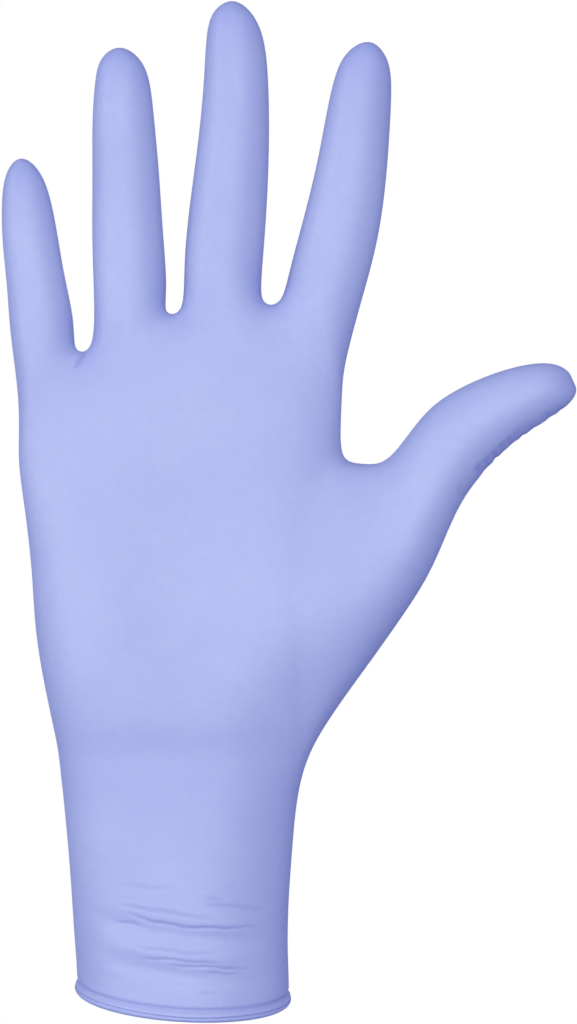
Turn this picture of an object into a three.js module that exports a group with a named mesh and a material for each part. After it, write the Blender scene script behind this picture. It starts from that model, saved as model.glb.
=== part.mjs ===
// A nitrile exam glove in the form it takes on a right hand: one dipped film, open at the cuff,
// that ends in a rolled bead. The palm faces -Y, the fingers point to +Z and the thumb to +X.
// The origin is the middle of the cuff's opening, and lengths are in millimetres.
//
// The outer skin is a net of four-sided patches, laid out in rings round the cuff, the palm and
// each finger, and smoothed once by Catmull-Clark subdivision. The inner skin is the same net,
// one film thickness inside, and the bead joins the two at the rim.

import * as THREE from "three";

// Film and bead. The wall is thicker than the real film of about 0.1 mm, so that the solid is sound.
const filmThickness = 1;
const beadThickness = 2.6;
const beadReach = 0.6; // how far the bead stands out from the film

// The cuff, from its opening up to the heel of the hand.
const cuffLength = 58;
const cuffWidth = 50;
const cuffDepth = 43;
const rimTilt = 12.5; // degrees that the opening dips towards the palm side
const rimLean = 3.5; // degrees that it dips towards the thumb side

// The palm, from its heel up to the web beside the middle finger.
const palmLength = 104;
const palmWidth = 78;
const palmDepth = 27;

// How square the sections are: 2 is an ellipse, and more is squarer.
const cuffPower = 2;
const palmPower = 2.4;

// The middle finger, from its root on the palm.
const fingerLength = 71.3;
const fingerWidth = 18;
const fingerDepth = 16.5;

// The thumb, from its root beside the palm.
const thumbLength = 56;
const thumbWidth = 17;

// The gap between two fingers, at its floor and at the palm in front of it.
const webGap = 4.4;
const webMouth = 9;
const webForward = 0.11; // how far the floor lies towards the palm side, as a share of palmDepth

const degrees = Math.PI / 180;
const mix = THREE.MathUtils.lerp;

// Sections of the cuff, from the rim up: the height is a share of cuffLength, left, right and
// depths are shares of half of cuffWidth and cuffDepth, and dip is the share of the rim's slopes.
const cuffSections = [
  { up: 0.0, left: 1.01, right: 1.015, front: 1.0, back: 1.0, dip: 1 },
  { up: 0.1, left: 1.02, right: 1.01, front: 0.99, back: 0.99, dip: 0.9 },
  { up: 0.2, left: 1.04, right: 1.0, front: 0.99, back: 0.98, dip: 0.8 },
  { up: 0.3, left: 1.055, right: 1.005, front: 0.98, back: 0.97, dip: 0.7 },
  { up: 0.41, left: 1.07, right: 1.015, front: 0.96, back: 0.95, dip: 0.58 },
  { up: 0.6, left: 1.105, right: 1.05, front: 0.93, back: 0.91, dip: 0.4 },
  { up: 0.8, left: 1.15, right: 1.09, front: 0.89, back: 0.86, dip: 0.2 },
];

// Folds of the film round the cuff. Up is a share of cuffLength, turn and reach are degrees round
// the cuff from the middle of the palm side towards the thumb, and slope is the rise over reach.
// Width is a share of cuffLength and rise a share of cuffDepth, below zero for a crease.
const cuffFolds = [
  { name: "wrist_band", up: 0.97, turn: -5, reach: 75, slope: 0, width: 0.075, rise: -0.012 },
  { name: "upper_crease", up: 0.285, turn: 3, reach: 52, slope: -0.03, width: 0.035, rise: -0.014 },
  { name: "upper_roll", up: 0.35, turn: 5, reach: 45, slope: -0.03, width: 0.04, rise: 0.008 },
  { name: "lower_crease", up: 0.135, turn: 2, reach: 45, slope: -0.03, width: 0.035, rise: -0.014 },
  { name: "lower_roll", up: 0.21, turn: 0, reach: 45, slope: -0.02, width: 0.035, rise: 0.009 },
  { name: "back_crease", up: 0.25, turn: 175, reach: 55, slope: 0.03, width: 0.04, rise: -0.012 },
];

// Sections of the palm, from its heel up: the height is a share of palmLength, left and right
// are shares of half of palmWidth, front and back of half of palmDepth. Arch is how much of
// fingerArch the section follows, fall how far it sinks at the back of the hand, as a share of
// palmDepth, and thumb is half of the angle that the thumb's root takes up in it, in degrees.
const palmSections = [
  { up: 0.0, left: 0.77, right: 0.79, front: 1.3, back: 1.26, arch: 0, fall: 0, thumb: 20 },
  { up: 0.13, left: 0.85, right: 0.9, front: 1.22, back: 1.18, arch: 0, fall: 0, thumb: 32 },
  { up: 0.26, left: 0.908, right: 1.02, front: 1.14, back: 1.1, arch: 0, fall: 0, thumb: 42 },
  { up: 0.39, left: 0.92, right: 1.06, front: 1.06, back: 1.05, arch: 0.1, fall: 0.02, thumb: 46 },
  { up: 0.525, left: 0.95, right: 1.06, front: 0.98, back: 1.02, arch: 0.25, fall: 0.04, thumb: 42 },
  { up: 0.664, left: 0.985, right: 0.995, front: 0.92, back: 0.98, arch: 0.5, fall: 0.08, thumb: 30 },
  { up: 0.76, left: 1.0, right: 0.97, front: 0.86, back: 0.94, arch: 0.75, fall: 0.16, thumb: 18 },
  { up: 0.86, left: 1.01, right: 0.975, front: 0.79, back: 0.88, arch: 1, fall: 0.26, thumb: 14 },
];
const thumbRows = { first: 0, last: 5 }; // palm sections between which the thumb grows out

// The fingers stand on an arch: it peaks at this share of half of palmWidth and drops to both
// sides with the square of the distance, by this share of palmLength at half of palmWidth.
const fingerArch = { peak: 0.4, drop: 0.085 };

// The three webs: where the floor of each lies, as shares of half of palmWidth and palmLength.
const webs = [
  { across: -0.6, up: 0.912 },
  { across: -0.055, up: 0.999 },
  { across: 0.53, up: 1.019 },
];

// Where the outer edges of the little and index fingers leave the palm, in the same shares.
const handEdges = [
  { across: -1.012, up: 0.84 },
  { across: 1.0, up: 0.93 },
];

// The line on which the fingers stand. The falls lie below the webs' height, and the rounding is
// how far its ends lie inside the hand's edges, as shares of palmDepth. Middle and beside are
// half-thicknesses at a finger's middle and beside a web, as shares of the finger's depth.
const knuckleLine = {
  frontFall: 0.15,
  sideFall: 0.2,
  backFall: 0.5,
  rounding: 0.1,
  middle: 0.62,
  beside: 0.54,
};

// The fingers from the little one to the index: length, width and depth are shares of the
// middle finger's. Root and lean place the line that a finger follows, and each row of a
// profile is a ring: along is a share of the finger's length, aside of its width.
const fingers = [
  {
    name: "little",
    length: 0.668,
    width: 0.833,
    depth: 0.818,
    root: { across: -0.82, up: 0.875 },
    lean: -8,
    bow: -0.04,
    profile: [
      { along: 0.16, aside: -0.02, width: 1.05, depth: 1.05 },
      { along: 0.38, aside: -0.02, width: 0.91, depth: 0.98 },
      { along: 0.6, aside: -0.02, width: 0.89, depth: 0.93 },
      { along: 0.82, aside: 0.01, width: 0.77, depth: 0.79 },
      { along: 0.95, aside: 0.01, width: 0.52, depth: 0.52 },
    ],
  },
  {
    name: "ring",
    length: 0.934,
    width: 0.944,
    depth: 0.939,
    root: { across: -0.31, up: 0.94 },
    lean: -2.4,
    bow: -0.05,
    profile: [
      { along: 0.14, aside: 0.01, width: 1.03, depth: 1.05 },
      { along: 0.34, aside: -0.01, width: 0.99, depth: 1.0 },
      { along: 0.55, aside: 0.01, width: 0.93, depth: 0.96 },
      { along: 0.74, aside: 0.0, width: 0.87, depth: 0.88 },
      { along: 0.89, aside: 0.02, width: 0.77, depth: 0.77 },
      { along: 0.967, aside: -0.01, width: 0.57, depth: 0.54 },
    ],
  },
  {
    name: "middle",
    length: 1,
    width: 1,
    depth: 1,
    root: { across: 0.24, up: 1.0 },
    lean: 1.7,
    bow: -0.05,
    profile: [
      { along: 0.13, aside: -0.01, width: 1.04, depth: 1.05 },
      { along: 0.33, aside: 0.04, width: 1.02, depth: 1.0 },
      { along: 0.54, aside: 0.09, width: 0.93, depth: 0.96 },
      { along: 0.73, aside: 0.1, width: 0.85, depth: 0.87 },
      { along: 0.88, aside: 0.07, width: 0.78, depth: 0.77 },
      { along: 0.966, aside: 0.015, width: 0.56, depth: 0.54 },
    ],
  },
  {
    name: "index",
    length: 0.934,
    width: 0.972,
    depth: 0.97,
    root: { across: 0.79, up: 0.965 },
    lean: 10.6,
    bow: -0.05,
    profile: [
      { along: 0.14, aside: 0.09, width: 1.06, depth: 1.06 },
      { along: 0.34, aside: 0.15, width: 1.05, depth: 1.0 },
      { along: 0.55, aside: 0.15, width: 0.95, depth: 0.95 },
      { along: 0.74, aside: 0.1, width: 0.87, depth: 0.87 },
      { along: 0.89, aside: 0.07, width: 0.77, depth: 0.77 },
      { along: 0.967, aside: 0.07, width: 0.52, depth: 0.52 },
    ],
  },
];

// Rings of the thumb from the palm to the tip: out, up and forward are shares of thumbLength,
// width and depth of thumbWidth, and lean is the ring's turn in degrees. The tip's middle line
// spreads over a share of the last ring's width.
const thumbRoot = { across: 0.96, up: 0.62 };
const thumbSections = [
  { out: 0.095, up: -0.4, width: 2.82, depth: 1.16, forward: 0.04, lean: 2 },
  { out: 0.217, up: -0.296, width: 2.1, depth: 1.24, forward: 0.075, lean: 8 },
  { out: 0.318, up: -0.16, width: 1.77, depth: 1.24, forward: 0.11, lean: 15 },
  { out: 0.42, up: 0.056, width: 1.34, depth: 1.2, forward: 0.14, lean: 20 },
  { out: 0.541, up: 0.174, width: 1.14, depth: 1.13, forward: 0.17, lean: 27 },
  { out: 0.675, up: 0.265, width: 0.97, depth: 1.04, forward: 0.19, lean: 27 },
  { out: 0.82, up: 0.324, width: 0.85, depth: 0.94, forward: 0.2, lean: 27 },
  { out: 0.925, up: 0.355, width: 0.62, depth: 0.68, forward: 0.2, lean: 26 },
];
const thumbTip = { out: 1.01, up: 0.37, forward: 0.195, spread: 0.75 };

// Soft swellings and hollows of the hand under the film. Across and reachAcross are shares of
// half of palmWidth, up and reachUp of palmLength, and rise of palmDepth; facing -1 is the palm.
const swellings = [
  { name: "thumb_mound", across: 0.8, up: 0.3, reachAcross: 0.6, reachUp: 0.3, rise: 0.22, facing: -1 },
  { name: "heel_mound", across: -0.6, up: 0.27, reachAcross: 0.38, reachUp: 0.3, rise: 0.14, facing: -1 },
  { name: "palm_hollow", across: 0.06, up: 0.46, reachAcross: 0.42, reachUp: 0.26, rise: -0.09, facing: -1 },
  { name: "little_knuckle", across: -0.78, up: 0.7, reachAcross: 0.18, reachUp: 0.11, rise: 0.04, facing: 1 },
  { name: "ring_knuckle", across: -0.32, up: 0.77, reachAcross: 0.2, reachUp: 0.12, rise: 0.06, facing: 1 },
  { name: "middle_knuckle", across: 0.22, up: 0.8, reachAcross: 0.2, reachUp: 0.12, rise: 0.07, facing: 1 },
  { name: "index_knuckle", across: 0.7, up: 0.77, reachAcross: 0.2, reachUp: 0.12, rise: 0.06, facing: 1 },
];

// How the net runs round the palm: twelve columns in front, one at the right edge, twelve at
// the back and one at the left edge.
const frontColumns = 12;
const rightColumn = frontColumns;
const leftColumn = 2 * frontColumns + 1;
const columns = 2 * frontColumns + 2;
const columnStep = 180 / (frontColumns + 1); // degrees

const vertices = [];
const patches = [];

const addVertex = (x, y, z) => vertices.push(new THREE.Vector3(x, y, z)) - 1;

// A smoothed ring lies inside its control points by this factor.
const ringShrink = (count) => 2 / 3 + Math.cos((2 * Math.PI) / count) / 3;

const backColumn = (column) => leftColumn - 1 - column;

// Angle of a column round the section, counted from the right edge over the back. The columns
// beside the right edge leave it by the angle given, and the others share the rest evenly.
function columnAngle(column, rightStep = columnStep) {
  if (column === rightColumn) return 0;
  if (column === leftColumn) return Math.PI;
  const onBack = column > rightColumn;
  const place = onBack ? column - rightColumn - 1 : rightColumn - 1 - column;
  const angle = mix(rightStep, 180 - columnStep, place / (frontColumns - 1)) * degrees;
  return onBack ? angle : -angle;
}

// A point on a rounded section whose half-sizes differ to each side.
function sectionPoint(angle, section, power) {
  const bend = 2 / power;
  const across = Math.sign(Math.cos(angle)) * Math.abs(Math.cos(angle)) ** bend;
  const deep = Math.sign(Math.sin(angle)) * Math.abs(Math.sin(angle)) ** bend;
  return {
    x: across * (across < 0 ? section.left : section.right),
    y: deep * (deep < 0 ? section.front : section.back),
  };
}

// The half-sizes of a row of a table, scaled to a width and a depth.
function halfSizes(row, width, depth) {
  return {
    left: (row.left * width) / 2,
    right: (row.right * width) / 2,
    front: (row.front * depth) / 2,
    back: (row.back * depth) / 2,
  };
}

// Height of the rim's plane above the origin.
const rimHeight = (x, y) => y * Math.tan(rimTilt * degrees) - x * Math.tan(rimLean * degrees);

function cuffRing(row) {
  const section = halfSizes(row, cuffWidth, cuffDepth);
  return Array.from({ length: columns }, (_, column) => {
    const { x, y } = sectionPoint(columnAngle(column), section, cuffPower);
    return addVertex(x, y, row.up * cuffLength + row.dip * rimHeight(x, y));
  });
}

// How far below its peak the arch of the fingers lies at a place across the hand.
function archDrop(x) {
  const across = x / (palmWidth / 2) - fingerArch.peak;
  return fingerArch.drop * palmLength * across ** 2;
}

// A ring of the palm. Inside the thumb's root it has no point at the right edge.
function palmRing(row, index) {
  const section = halfSizes(row, palmWidth, palmDepth);
  const ring = new Array(columns);
  for (let column = 0; column < columns; column++) {
    const inThumb = index > thumbRows.first && index < thumbRows.last;
    if (inThumb && column === rightColumn) continue;
    const angle = columnAngle(column, row.thumb);
    const { x, y } = sectionPoint(angle, section, palmPower);
    const backShare = (1 + Math.sin(angle)) / 2;
    const sink = row.arch * archDrop(x) + row.fall * palmDepth * backShare;
    ring[column] = addVertex(x, y, cuffLength + row.up * palmLength - sink);
  }
  return ring;
}

// Places a ring of control points: u runs along the ring's plane, v along Y.
function placeRing(centre, u, halfWidth, halfDepth, angles) {
  const shrink = ringShrink(angles.length);
  return angles.map((angle) => {
    const across = (Math.cos(angle) * halfWidth) / shrink;
    const deep = (Math.sin(angle) * halfDepth) / shrink;
    return addVertex(centre.x + u.x * across, centre.y + deep, centre.z + u.z * across);
  });
}

// Joins two rings of the same count with patches.
function joinRings(lower, upper) {
  lower.forEach((corner, i) => {
    const next = (i + 1) % lower.length;
    patches.push([corner, lower[next], upper[next], upper[i]]);
  });
}

// The ring on which the fingers stand, at the top of the palm.
function knuckleRing() {
  const half = palmWidth / 2;
  const round = knuckleLine.rounding * palmDepth;
  const edges = [
    { ...handEdges[0], inset: round },
    ...webs.map((web) => ({ ...web, inset: webMouth / 2 })),
    { ...handEdges[1], inset: round },
  ];
  const ring = new Array(columns);
  fingers.forEach((finger, f) => {
    const [from, to] = [edges[f], edges[f + 1]];
    const fromX = from.across * half + from.inset;
    const toX = to.across * half - to.inset;
    const places = [
      { x: fromX, up: from.up, thick: knuckleLine.beside },
      { x: (fromX + toX) / 2, up: Math.max(from.up, to.up), thick: knuckleLine.middle },
      { x: toX, up: to.up, thick: knuckleLine.beside },
    ];
    places.forEach(({ x, up, thick }, i) => {
      const height = cuffLength + up * palmLength;
      const y = thick * finger.depth * fingerDepth;
      ring[3 * f + i] = addVertex(x, -y, height - knuckleLine.frontFall * palmDepth);
      ring[backColumn(3 * f + i)] = addVertex(x, y, height - knuckleLine.backFall * palmDepth);
    });
  });
  const side = (edge) =>
    addVertex(
      edge.across * half,
      0,
      cuffLength + edge.up * palmLength - knuckleLine.sideFall * palmDepth,
    );
  ring[leftColumn] = side(handEdges[0]);
  ring[rightColumn] = side(handEdges[1]);
  return ring;
}

// The floor of each web has one point on the side of each of its two fingers.
function webPoints() {
  return webs.map((web) => {
    const x = (web.across * palmWidth) / 2;
    const z = cuffLength + web.up * palmLength;
    const y = -webForward * palmDepth;
    return [addVertex(x - webGap / 2, y, z), addVertex(x + webGap / 2, y, z)];
  });
}

const fingerAngles = Array.from({ length: 8 }, (_, i) => (5 * Math.PI) / 4 + (i * Math.PI) / 4);

// The eight points of the knuckle ring on which a finger stands, front left first.
function fingerFoot(f, ring, floors) {
  const left = f === 0 ? ring[leftColumn] : floors[f - 1][1];
  const right = f === 3 ? ring[rightColumn] : floors[f][0];
  const front = [3 * f, 3 * f + 1, 3 * f + 2];
  const back = front.map(backColumn).reverse();
  return [...front.map((c) => ring[c]), right, ...back.map((c) => ring[c]), left];
}

// A smoothed tip lies this far from the last ring towards its control point.
const tipShrink = 4 / 9;

function finger(shape, foot) {
  const length = shape.length * fingerLength;
  const width = shape.width * fingerWidth;
  const depth = shape.depth * fingerDepth;
  const lean = shape.lean * degrees;
  const line = { x: Math.sin(lean), z: Math.cos(lean) };
  const u = { x: line.z, z: -line.x };
  const root = {
    x: (shape.root.across * palmWidth) / 2,
    z: cuffLength + shape.root.up * palmLength,
  };
  const at = (along, aside) => ({
    x: root.x + line.x * along * length + u.x * aside * width,
    y: shape.bow * length * along ** 2,
    z: root.z + line.z * along * length + u.z * aside * width,
  });
  let lower = foot;
  for (const row of shape.profile) {
    const half = { width: (row.width * width) / 2, depth: (row.depth * depth) / 2 };
    const ring = placeRing(at(row.along, row.aside), u, half.width, half.depth, fingerAngles);
    joinRings(lower, ring);
    lower = ring;
  }
  const last = shape.profile.at(-1);
  const tip = at(last.along + (1 - last.along) / tipShrink, last.aside);
  closeRing(lower, [addVertex(tip.x, tip.y, tip.z)], 2);
}

// Closes a ring whose first points run along its front with a cap, over a middle line.
function closeRing(ring, middle, steps) {
  const count = ring.length;
  const front = ring.slice(0, steps + 1);
  const back = Array.from({ length: steps + 1 }, (_, i) => ring[count - 2 - i]);
  const line = [ring[count - 1], ...middle, ring[steps + 1]];
  for (let i = 0; i < steps; i++) {
    patches.push([front[i], front[i + 1], line[i + 1], line[i]]);
    patches.push([line[i], line[i + 1], back[i + 1], back[i]]);
  }
}

// The loop of the palm's net on which the thumb stands, from its top at the front round below.
function thumbFoot(rings) {
  const rows = rings.slice(thumbRows.first, thumbRows.last + 1).reverse();
  const front = rows.map((ring) => ring[rightColumn - 1]);
  const back = rows.map((ring) => ring[rightColumn + 1]).reverse();
  return [...front, rows.at(-1)[rightColumn], ...back, rows[0][rightColumn]];
}

function thumb(foot) {
  const count = foot.length;
  const angles = foot.map((_, i) => -((i + 1) * 2 * Math.PI) / count);
  const root = {
    x: (thumbRoot.across * palmWidth) / 2,
    z: cuffLength + thumbRoot.up * palmLength,
  };
  const at = (row) => ({
    x: root.x + row.out * thumbLength,
    y: -row.forward * thumbLength,
    z: root.z + row.up * thumbLength,
  });
  let lower = foot;
  for (const row of thumbSections) {
    const u = { x: -Math.sin(row.lean * degrees), z: Math.cos(row.lean * degrees) };
    const half = { width: (row.width * thumbWidth) / 2, depth: (row.depth * thumbWidth) / 2 };
    const ring = placeRing(at(row), u, half.width, half.depth, angles);
    joinRings(lower, ring);
    lower = ring;
  }
  const steps = (count - 4) / 2;
  const last = thumbSections.at(-1);
  const lean = last.lean * degrees;
  const tip = at(thumbTip);
  const middle = Array.from({ length: steps - 1 }, (_, i) => {
    const across = (0.5 - (i + 1) / steps) * last.width * thumbWidth * thumbTip.spread;
    return addVertex(tip.x - Math.sin(lean) * across, tip.y, tip.z + Math.cos(lean) * across);
  });
  closeRing(lower, middle, steps);
}

function buildNet() {
  const rings = [...cuffSections.map(cuffRing), ...palmSections.map(palmRing)];
  const top = knuckleRing();
  rings.push(top);
  const firstPalm = cuffSections.length;
  const thumbBottom = firstPalm + thumbRows.first;
  const thumbTop = firstPalm + thumbRows.last;
  for (let r = 0; r + 1 < rings.length; r++) {
    for (let c = 0; c < columns; c++) {
      const besideThumb = c === rightColumn - 1 || c === rightColumn;
      if (besideThumb && r >= thumbBottom && r < thumbTop) continue;
      const next = (c + 1) % columns;
      patches.push([rings[r][c], rings[r][next], rings[r + 1][next], rings[r + 1][c]]);
    }
  }
  const floors = webPoints();
  floors.forEach(([a, b], k) => {
    const front = 3 * k + 2;
    patches.push([top[front], top[front + 1], b, a]);
    patches.push([a, b, top[backColumn(front + 1)], top[backColumn(front)]]);
  });
  fingers.forEach((shape, f) => finger(shape, fingerFoot(f, top, floors)));
  thumb(thumbFoot(rings.slice(firstPalm)));
}

// Catmull-Clark subdivision, then each vertex is moved to where further steps would take it.
function edgeKey(a, b) {
  return a < b ? `${a}_${b}` : `${b}_${a}`;
}

function average(points) {
  const sum = new THREE.Vector3();
  points.forEach((p) => sum.add(p));
  return sum.divideScalar(points.length);
}

function netLinks(points, faces) {
  const edges = new Map();
  const around = points.map(() => ({ faces: [], edges: new Set() }));
  faces.forEach((face, f) => {
    face.forEach((a, i) => {
      const b = face[(i + 1) % 4];
      const key = edgeKey(a, b);
      if (!edges.has(key)) edges.set(key, { a, b, faces: [] });
      edges.get(key).faces.push(f);
      around[a].faces.push(f);
      around[a].edges.add(key);
      around[b].edges.add(key);
    });
  });
  return { edges, around };
}

function subdivide(points, faces) {
  const { edges, around } = netLinks(points, faces);
  const faceMiddles = faces.map((face) => average(face.map((i) => points[i])));
  const moved = points.map((p, i) => {
    const own = [...around[i].edges].map((key) => edges.get(key));
    const rim = own.filter((e) => e.faces.length === 1);
    if (rim.length) {
      const ends = rim.map((e) => points[e.a === i ? e.b : e.a]);
      return average(ends).multiplyScalar(0.25).addScaledVector(p, 0.75);
    }
    const n = own.length;
    const faceMean = average(around[i].faces.map((f) => faceMiddles[f]));
    const edgeMean = average(own.map((e) => average([points[e.a], points[e.b]])));
    return faceMean.addScaledVector(edgeMean, 2).addScaledVector(p, n - 3).divideScalar(n);
  });
  const facePoints = faceMiddles.map((p) => moved.push(p) - 1);
  const edgePoints = new Map();
  for (const [key, edge] of edges) {
    const ends = [points[edge.a], points[edge.b]];
    const sides = edge.faces.length === 2 ? edge.faces.map((f) => faceMiddles[f]) : [];
    edgePoints.set(key, moved.push(average([...ends, ...sides])) - 1);
  }
  const split = faces.flatMap((face, f) =>
    face.map((corner, i) => [
      corner,
      edgePoints.get(edgeKey(corner, face[(i + 1) % 4])),
      facePoints[f],
      edgePoints.get(edgeKey(face[(i + 3) % 4], corner)),
    ]),
  );
  return { points: moved, faces: split };
}

function toLimit(points, faces) {
  const { edges, around } = netLinks(points, faces);
  return points.map((p, i) => {
    const own = [...around[i].edges].map((key) => edges.get(key));
    const other = (e) => points[e.a === i ? e.b : e.a];
    const rim = own.filter((e) => e.faces.length === 1);
    if (rim.length) return average(rim.map(other)).addScaledVector(p, 2).divideScalar(3);
    const n = own.length;
    const sum = p.clone().multiplyScalar(n * n);
    own.forEach((e) => sum.addScaledVector(other(e), 4));
    around[i].faces.forEach((f) => sum.add(points[faces[f][(faces[f].indexOf(i) + 2) % 4]]));
    return sum.divideScalar(n * (n + 5));
  });
}

function vertexNormals(points, faces) {
  const normals = points.map(() => new THREE.Vector3());
  for (const face of faces) {
    const [a, b, c, d] = face.map((i) => points[i]);
    const normal = c.clone().sub(a).cross(d.clone().sub(b));
    face.forEach((i) => normals[i].add(normal));
  }
  return normals.map((n) => n.normalize());
}

// Raises the swellings along Y on the side of the hand that they face.
function swell(points, normals) {
  const half = palmWidth / 2;
  points.forEach((p, i) => {
    for (const s of swellings) {
      const across = (p.x - s.across * half) / (s.reachAcross * half);
      const up = (p.z - cuffLength - s.up * palmLength) / (s.reachUp * palmLength);
      const facing = Math.max(0, normals[i].y * s.facing);
      p.y += s.facing * s.rise * palmDepth * facing * Math.exp(-(across ** 2 + up ** 2));
    }
  });
}

// Presses the folds of the cuff in or out along the skin's normals.
function foldCuff(points, normals) {
  points.forEach((p, i) => {
    const turn = Math.atan2(p.x, -p.y) / degrees;
    for (const fold of cuffFolds) {
      const aside = THREE.MathUtils.euclideanModulo(turn - fold.turn + 180, 360) - 180;
      const along = aside / fold.reach;
      const middle = (fold.up + fold.slope * along) * cuffLength;
      const height = p.z - (1 - fold.up) * rimHeight(p.x, p.y);
      const up = (height - middle) / (fold.width * cuffLength);
      const press = Math.exp(-(up ** 2) - along ** 4);
      p.addScaledVector(normals[i], fold.rise * cuffDepth * press);
    }
  });
}

// The rolled bead: rings of points from the inner rim, round below and up to the outer rim.
const beadTurns = [155, 210, 265, 320, 375]; // degrees round the bead's section

function beadRings(outerRim, normals) {
  const radius = beadThickness / 2;
  const up = new THREE.Vector3(-rimHeight(1, 0), -rimHeight(0, 1), 1).normalize();
  const reach = beadReach - radius;
  const lift = Math.sqrt(radius ** 2 - reach ** 2);
  return beadTurns.map((turn) =>
    outerRim.map((p, i) => {
      const out = normals[i].clone().addScaledVector(up, -normals[i].dot(up)).normalize();
      const across = reach + radius * Math.cos(turn * degrees);
      const rise = radius * Math.sin(turn * degrees) - lift;
      return p.clone().addScaledVector(out, across).addScaledVector(up, rise);
    }),
  );
}

// The rim's vertices in order round the opening.
function rimLoop(faces) {
  const next = new Map();
  const seen = new Map();
  for (const face of faces) {
    face.forEach((a, i) => {
      const key = edgeKey(a, face[(i + 1) % 4]);
      seen.set(key, (seen.get(key) || 0) + 1);
    });
  }
  for (const face of faces) {
    face.forEach((a, i) => {
      const b = face[(i + 1) % 4];
      if (seen.get(edgeKey(a, b)) === 1) next.set(a, b);
    });
  }
  const loop = [next.keys().next().value];
  while (next.get(loop.at(-1)) !== loop[0]) loop.push(next.get(loop.at(-1)));
  return loop;
}

function gloveGeometry() {
  buildNet();
  const fine = subdivide(vertices, patches);
  const faces = fine.faces;
  const outer = toLimit(fine.points, faces);
  swell(outer, vertexNormals(outer, faces));
  foldCuff(outer, vertexNormals(outer, faces));
  const normals = vertexNormals(outer, faces);
  const inner = outer.map((p, i) => p.clone().addScaledVector(normals[i], -filmThickness));
  const points = [...outer, ...inner];
  const shift = outer.length;
  const triangles = [];
  const addPatch = (a, b, c, d) => triangles.push(a, b, c, a, c, d);
  for (const [a, b, c, d] of faces) {
    addPatch(a, b, c, d);
    addPatch(d + shift, c + shift, b + shift, a + shift);
  }
  const loop = rimLoop(faces);
  const rings = beadRings(loop.map((i) => outer[i]), loop.map((i) => normals[i]));
  const beadLoops = rings.map((ring) => ring.map((p) => points.push(p) - 1));
  const bands = [loop.map((i) => i + shift), ...beadLoops, loop];
  for (let r = 0; r + 1 < bands.length; r++) {
    loop.forEach((_, i) => {
      const next = (i + 1) % loop.length;
      addPatch(bands[r][i], bands[r][next], bands[r + 1][next], bands[r + 1][i]);
    });
  }
  const geometry = new THREE.BufferGeometry();
  const positions = points.flatMap((p) => [p.x, p.y, p.z]);
  geometry.setAttribute("position", new THREE.Float32BufferAttribute(positions, 3));
  geometry.setIndex(triangles);
  geometry.computeVertexNormals();
  return geometry;
}

const nitrile = new THREE.MeshStandardMaterial({ color: 0xa9b4ee, roughness: 0.5, metalness: 0 });
const glove = new THREE.Mesh(gloveGeometry(), nitrile);
glove.name = "glove";

const assembly = new THREE.Group();
assembly.add(glove);
export default assembly;
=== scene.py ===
"""A nitrile exam glove in the form it takes on a right hand, above a pale floor.

The outer skin is a net of four-sided patches, laid out in rings round the cuff, the palm and each
finger, and smoothed by subdivision. Swellings, folds and creases are pressed into it. The inner
skin follows it one film inside, and a rolled bead joins the two at the rim.

Lengths are in metres. The palm faces -Y, the fingers point to +Z and the thumb to +X, and the
origin is the middle of the cuff's opening.
"""

import math

import bpy
import numpy as np
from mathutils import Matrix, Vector


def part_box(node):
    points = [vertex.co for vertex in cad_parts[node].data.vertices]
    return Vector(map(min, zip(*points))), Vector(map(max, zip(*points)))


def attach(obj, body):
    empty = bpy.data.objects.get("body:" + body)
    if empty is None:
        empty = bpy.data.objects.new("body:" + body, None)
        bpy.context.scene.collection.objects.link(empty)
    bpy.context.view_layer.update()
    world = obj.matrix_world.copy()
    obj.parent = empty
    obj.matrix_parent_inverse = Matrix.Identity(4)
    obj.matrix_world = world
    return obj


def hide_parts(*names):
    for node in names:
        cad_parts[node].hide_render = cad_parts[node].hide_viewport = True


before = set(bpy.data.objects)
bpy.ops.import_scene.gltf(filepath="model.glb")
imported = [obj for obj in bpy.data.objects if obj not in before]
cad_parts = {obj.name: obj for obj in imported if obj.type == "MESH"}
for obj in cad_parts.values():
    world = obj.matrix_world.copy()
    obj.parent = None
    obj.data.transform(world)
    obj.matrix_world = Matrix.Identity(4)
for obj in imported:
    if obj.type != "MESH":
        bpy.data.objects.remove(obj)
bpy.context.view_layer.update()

FILM_THICKNESS = 0.001

# The rolled bead. Its section runs in degrees from the inner rim, round below and up to the outer
# rim, and the roll's edge shows in it as a groove that wanders along two waves round the rim.
BEAD_THICKNESS = 0.0026
BEAD_REACH = 0.0006  # how far the bead stands out from the film
BEAD_TURNS = np.linspace(155, 400, 56)
GROOVE_TURN = 366
GROOVE_WIDTH = 11
GROOVE_DEPTH = 0.26  # as a share of the bead's radius
GROOVE_WAVES = [
    dict(high=7, count=2, start=1),
    dict(high=4, count=5, start=0),
]

# The film is nipped in just above the bead.
NIP_HEIGHT = 0.0007  # above the rim
NIP_WIDTH = 0.00045
NIP_DEPTH = 0.00045

# The cuff, from its opening up to the heel of the hand.
CUFF_LENGTH = 0.058
CUFF_WIDTH = 0.05
CUFF_DEPTH = 0.043
RIM_TILT = math.radians(10)  # how far the opening dips towards the palm side
RIM_LEAN = math.radians(3.5)  # how far it dips towards the thumb side

# The palm, from its heel up to the web beside the middle finger.
PALM_LENGTH = 0.104
PALM_WIDTH = 0.078
PALM_DEPTH = 0.027

# How square the sections are: 2 is an ellipse, and more is squarer.
CUFF_POWER = 2
PALM_POWER = 2.4

# The middle finger, from its root on the palm.
FINGER_LENGTH = 0.0713
FINGER_WIDTH = 0.018
FINGER_DEPTH = 0.0165

# The thumb, from its root beside the palm.
THUMB_LENGTH = 0.056
THUMB_WIDTH = 0.017

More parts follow.
